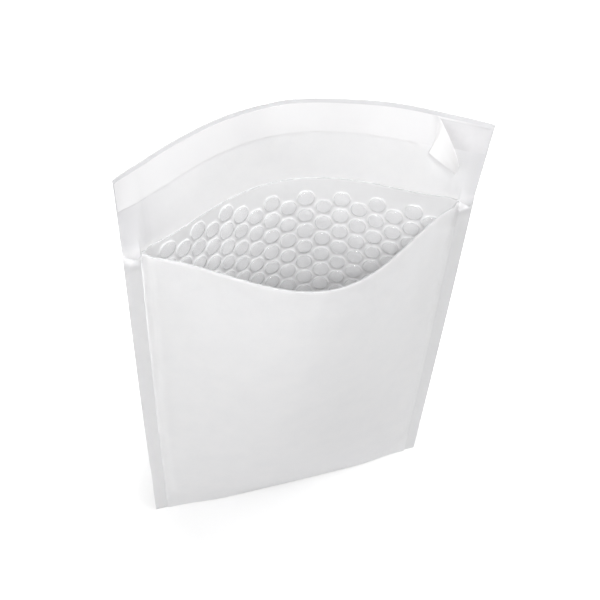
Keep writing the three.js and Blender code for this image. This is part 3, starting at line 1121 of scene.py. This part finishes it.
# The two edges of the liner's peeled end
def looseEnd(lowerStart, upperStart, peelAcross):
    rising = (upperStart - lowerStart).normalized()
    forward = flapForward(peelAcross, mix(*flap["linerShares"], 0.5))
    along = rising.cross(forward).normalized()
    if along.x < 0:
        along.negate()

    def route(start, steps):
        points = [start] + [start + (along * a + forward * f + rising * r) * mm for a, f, r in steps]
        return smoothLine(points, liner["looseColumns"])

    return route(lowerStart, liner["looseLowerEdge"]), route(upperStart, liner["looseUpperEdge"])


# The loose end is painted whiter than the stuck part, through which the adhesive shows, and part of this
# is painted light on the curled end, which faces downward.
def paintLooseWhiteAndLit(mesh, stuckColumns, columns):
    layer = mesh.attributes.new("looseWhiteAndLit", "FLOAT", "POINT")
    for index, value in enumerate(layer.data):
        value.value = smooth((index % columns - stuckColumns) / liner["whiteningColumns"])


def makeLiner():
    low, high = flap["linerShares"]
    peelAcross = flapEnd * flap["peelShare"]
    middleAt = liner["back"] + liner["thickness"] / 2
    columns = evenly(liner["margin"] - flapEnd, peelAcross, liner["columnStep"])
    shares = [mix(low, high, i / (liner["rows"] - 1)) for i in range(liner["rows"])]
    stuck = [[flapPoint(across, share, middleAt) for across in columns] for share in shares]
    lower, upper = looseEnd(stuck[0][-1], stuck[-1][-1], peelAcross)
    rows = []
    for i, row in enumerate(stuck):
        share = i / (liner["rows"] - 1)
        rows.append(row + [a.lerp(b, share) for a, b in zip(lower[1:], upper[1:])])
    points = [point for row in rows for point in row]
    piece = meshObject("releaseLiner", points, gridFaces(len(rows), len(rows[0])), linerMaterial())
    paintLooseWhiteAndLit(piece.data, len(columns), len(rows[0]))
    shell = piece.modifiers.new("liner", "SOLIDIFY")
    shell.thickness = liner["thickness"]
    shell.offset = 0
    applyModifiers(piece)
    shadeCrisp(piece.data)
    return piece


linerPiece = makeLiner()
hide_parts("release_liner")
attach(linerPiece, "root")
print("release liner made")


# The floor and the light

stage = {
    "floorReach": 4,
    "nearGlow": 0.37,
    "farGlow": 1,
    "glowReach": (0.08, 0.2),
    "floorColour": (0.45, 0.45, 0.45, 1),
    "floorBounce": (0.72, 0.72, 0.73, 1),
    "skyLight": 0.2,
    "aim": (0, 0, 0.17),
    "softboxes": {
        "cameraSoftbox": {"power": 8.7, "size": 0.35, "place": (-0.337, -0.834, 1.242)},
        "leftSoftbox": {"power": 2.9, "size": 0.5, "place": (-0.603, -0.348, 0.658)},
        "rightSoftbox": {"power": 1.8, "size": 0.9, "place": (0.88, -0.739, 1.134)},
        "highSoftbox": {"power": 18, "size": 0.9, "place": (0.612, -0.164, 1.529)},
        "backSoftbox": {"power": 4.5, "size": 0.9, "place": (-0.167, 0.95, 1.319)},
    },
}


# 1 for rays from the camera, also by way of gloss or clear film
def seenByCamera(tree):
    path = addNode(tree, "ShaderNodeLightPath")
    seen = addNode(
        tree,
        "ShaderNodeMath",
        {0: path.outputs["Is Camera Ray"], 1: path.outputs["Is Glossy Ray"]},
        operation="ADD",
    )
    withClear = addNode(
        tree,
        "ShaderNodeMath",
        {0: seen.outputs[0], 1: path.outputs["Is Transmission Ray"]},
        operation="ADD",
        use_clamp=True,
    )
    return withClear.outputs[0]


# White to the camera, with a weaker glow near the envelope so that its soft shadow shows
def floorMaterial():
    material = bpy.data.materials.new("studioFloor")
    material.use_nodes = True
    tree = material.node_tree
    tree.nodes.clear()
    place = addNode(tree, "ShaderNodeTexCoord").outputs["Object"]
    away = addNode(tree, "ShaderNodeVectorMath", {0: place}, operation="LENGTH").outputs["Value"]
    near, far = stage["glowReach"]
    fade = {"Value": away, "From Min": near, "From Max": far}
    fade.update({"To Min": stage["nearGlow"], "To Max": stage["farGlow"]})
    strength = addNode(tree, "ShaderNodeMapRange", fade, interpolation_type="SMOOTHSTEP")
    whiteGlow = {"Color": (1, 1, 1, 1), "Strength": strength.outputs["Result"]}
    glow = addNode(tree, "ShaderNodeEmission", whiteGlow)
    shown = addNode(tree, "ShaderNodeBsdfDiffuse", {"Color": stage["floorColour"]})
    both = addNode(tree, "ShaderNodeAddShader", {0: shown.outputs[0], 1: glow.outputs[0]})
    bounce = addNode(tree, "ShaderNodeBsdfDiffuse", {"Color": stage["floorBounce"]})
    result = addNode(
        tree,
        "ShaderNodeMixShader",
        {0: seenByCamera(tree), 1: bounce.outputs[0], 2: both.outputs[0]},
    )
    end = addNode(tree, "ShaderNodeOutputMaterial")
    tree.links.new(result.outputs[0], end.inputs["Surface"])
    return material


def makeFloor():
    reach = stage["floorReach"]
    corners = [(-reach, -reach, 0), (reach, -reach, 0), (reach, reach, 0), (-reach, reach, 0)]
    floor = meshObject("studioFloor", corners, [(0, 1, 2, 3)], floorMaterial())


def makeSky():
    world = bpy.data.worlds.new("studioSky")
    world.use_nodes = True
    tree = world.node_tree
    tree.nodes.clear()
    brightness = {"Factor": seenByCamera(tree), "A": stage["skyLight"], "B": 1.0}
    strength = addNode(tree, "ShaderNodeMix", brightness, data_type="FLOAT")
    whiteSky = {"Color": (1, 1, 1, 1), "Strength": strength.outputs["Result"]}
    sky = addNode(tree, "ShaderNodeBackground", whiteSky)
    end = addNode(tree, "ShaderNodeOutputWorld")
    tree.links.new(sky.outputs[0], end.inputs["Surface"])
    bpy.context.scene.world = world


def addSoftbox(name, settings):
    lamp = bpy.data.lights.new(name, "AREA")
    lamp.energy = settings["power"]
    lamp.size = settings["size"]
    box = bpy.data.objects.new(name, lamp)
    box.location = settings["place"]
    aim = Vector(stage["aim"]) - box.location
    box.rotation_euler = aim.to_track_quat("-Z", "Y").to_euler()
    bpy.context.scene.collection.objects.link(box)


makeFloor()
makeSky()
for name, settings in stage["softboxes"].items():
    addSoftbox(name, settings)
print("stage lit")

bpy.context.view_layer.update()
